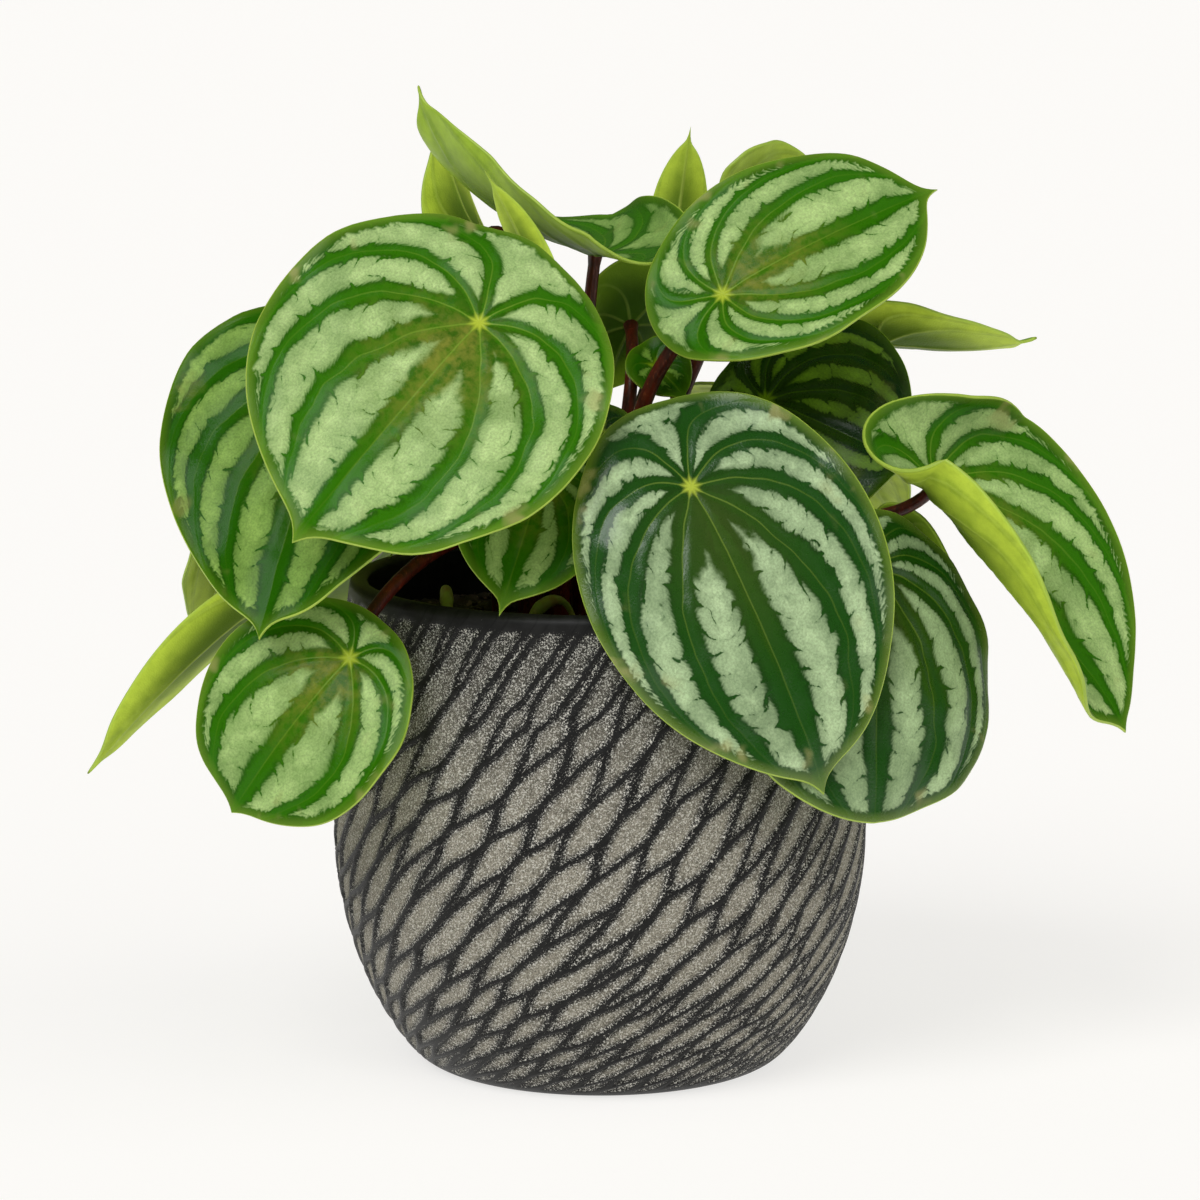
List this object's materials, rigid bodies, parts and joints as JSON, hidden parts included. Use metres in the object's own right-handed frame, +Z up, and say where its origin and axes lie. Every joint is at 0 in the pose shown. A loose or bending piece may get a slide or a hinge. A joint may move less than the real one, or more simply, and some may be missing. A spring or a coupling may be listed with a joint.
{
  "type": "potted peperomia",
  "caption": "Bushy watermelon peperomia with shield-shaped silver-striped leaves on red stalks, standing in a round dark pot with a carved net surface.",
  "frame": {"origin": "centre of the pot's flat underside", "axes": "+Z up along the pot's axis; -Y is the front of the plant, +X to its right seen from the front"},
  "size_m": [0.2714, 0.1783, 0.254],
  "materials": {
    "stoneware": "unglazed dark charcoal, carved in a net of rough pale-flecked pads between smooth grooves",
    "soil": "crumbly near-black potting compost of peat and bark, matt",
    "leaf_bright": "satin leaf, silver-green with fresh green bands along the veins",
    "leaf_deep": "satin leaf, silver-green with deep green bands along the veins",
    "leaf_pale": "satin leaf seen mostly from its pale yellow-green underside",
    "stalk": "smooth satin dark red, slightly translucent",
    "sprout": "young yellow-green, satin"
  },
  "bodies": {
    "root": {"pot": "stoneware", "soil": "soil", "leaf_front_left": "leaf_bright", "leaf_left": "leaf_bright", "leaf_low_left": "leaf_bright", "leaf_far_left": "leaf_pale", "leaf_left_back": "leaf_pale", "leaf_right_top": "leaf_bright", "leaf_front_right": "leaf_deep", "leaf_far_right": "leaf_bright", "leaf_low_right": "leaf_deep", "leaf_right": "leaf_deep", "leaf_right_high": "leaf_pale", "leaf_top": "leaf_pale", "leaf_top_left": "leaf_pale", "leaf_top_inner": "leaf_pale", "leaf_top_back": "leaf_pale", "leaf_top_right": "leaf_bright", "leaf_inner_top": "leaf_deep", "leaf_inner_right": "leaf_bright", "leaf_inner_left": "leaf_deep", "leaf_front": "leaf_bright", "leaf_low_right_back": "leaf_deep", "leaf_low_inner_left": "leaf_bright", "leaf_back_left": "leaf_bright", "leaf_back": "leaf_bright", "leaf_back_right": "leaf_bright", "leaf_low_back_left": "leaf_bright", "leaf_low_back_right": "leaf_bright", "leaf_back_high_left": "leaf_bright", "stalk_front_left": "stalk", "stalk_left": "stalk", "stalk_low_left": "stalk", "stalk_far_left": "stalk", "stalk_left_back": "stalk", "stalk_right_top": "stalk", "stalk_front_right": "stalk", "stalk_far_right": "stalk", "stalk_low_right": "stalk", "stalk_right": "stalk", "stalk_right_high": "stalk", "stalk_top": "stalk", "stalk_top_left": "stalk", "stalk_top_inner": "stalk", "stalk_top_back": "stalk", "stalk_top_right": "stalk", "stalk_inner_top": "stalk", "stalk_inner_right": "stalk", "stalk_inner_left": "stalk", "stalk_front": "stalk", "stalk_low_right_back": "stalk", "stalk_low_inner_left": "stalk", "stalk_back_left": "stalk", "stalk_back": "stalk", "stalk_back_right": "stalk", "stalk_low_back_left": "stalk", "stalk_low_back_right": "stalk", "stalk_back_high_left": "stalk", "sprout_left": "sprout", "sprout_front": "sprout"}
  },
  "joints": []
}
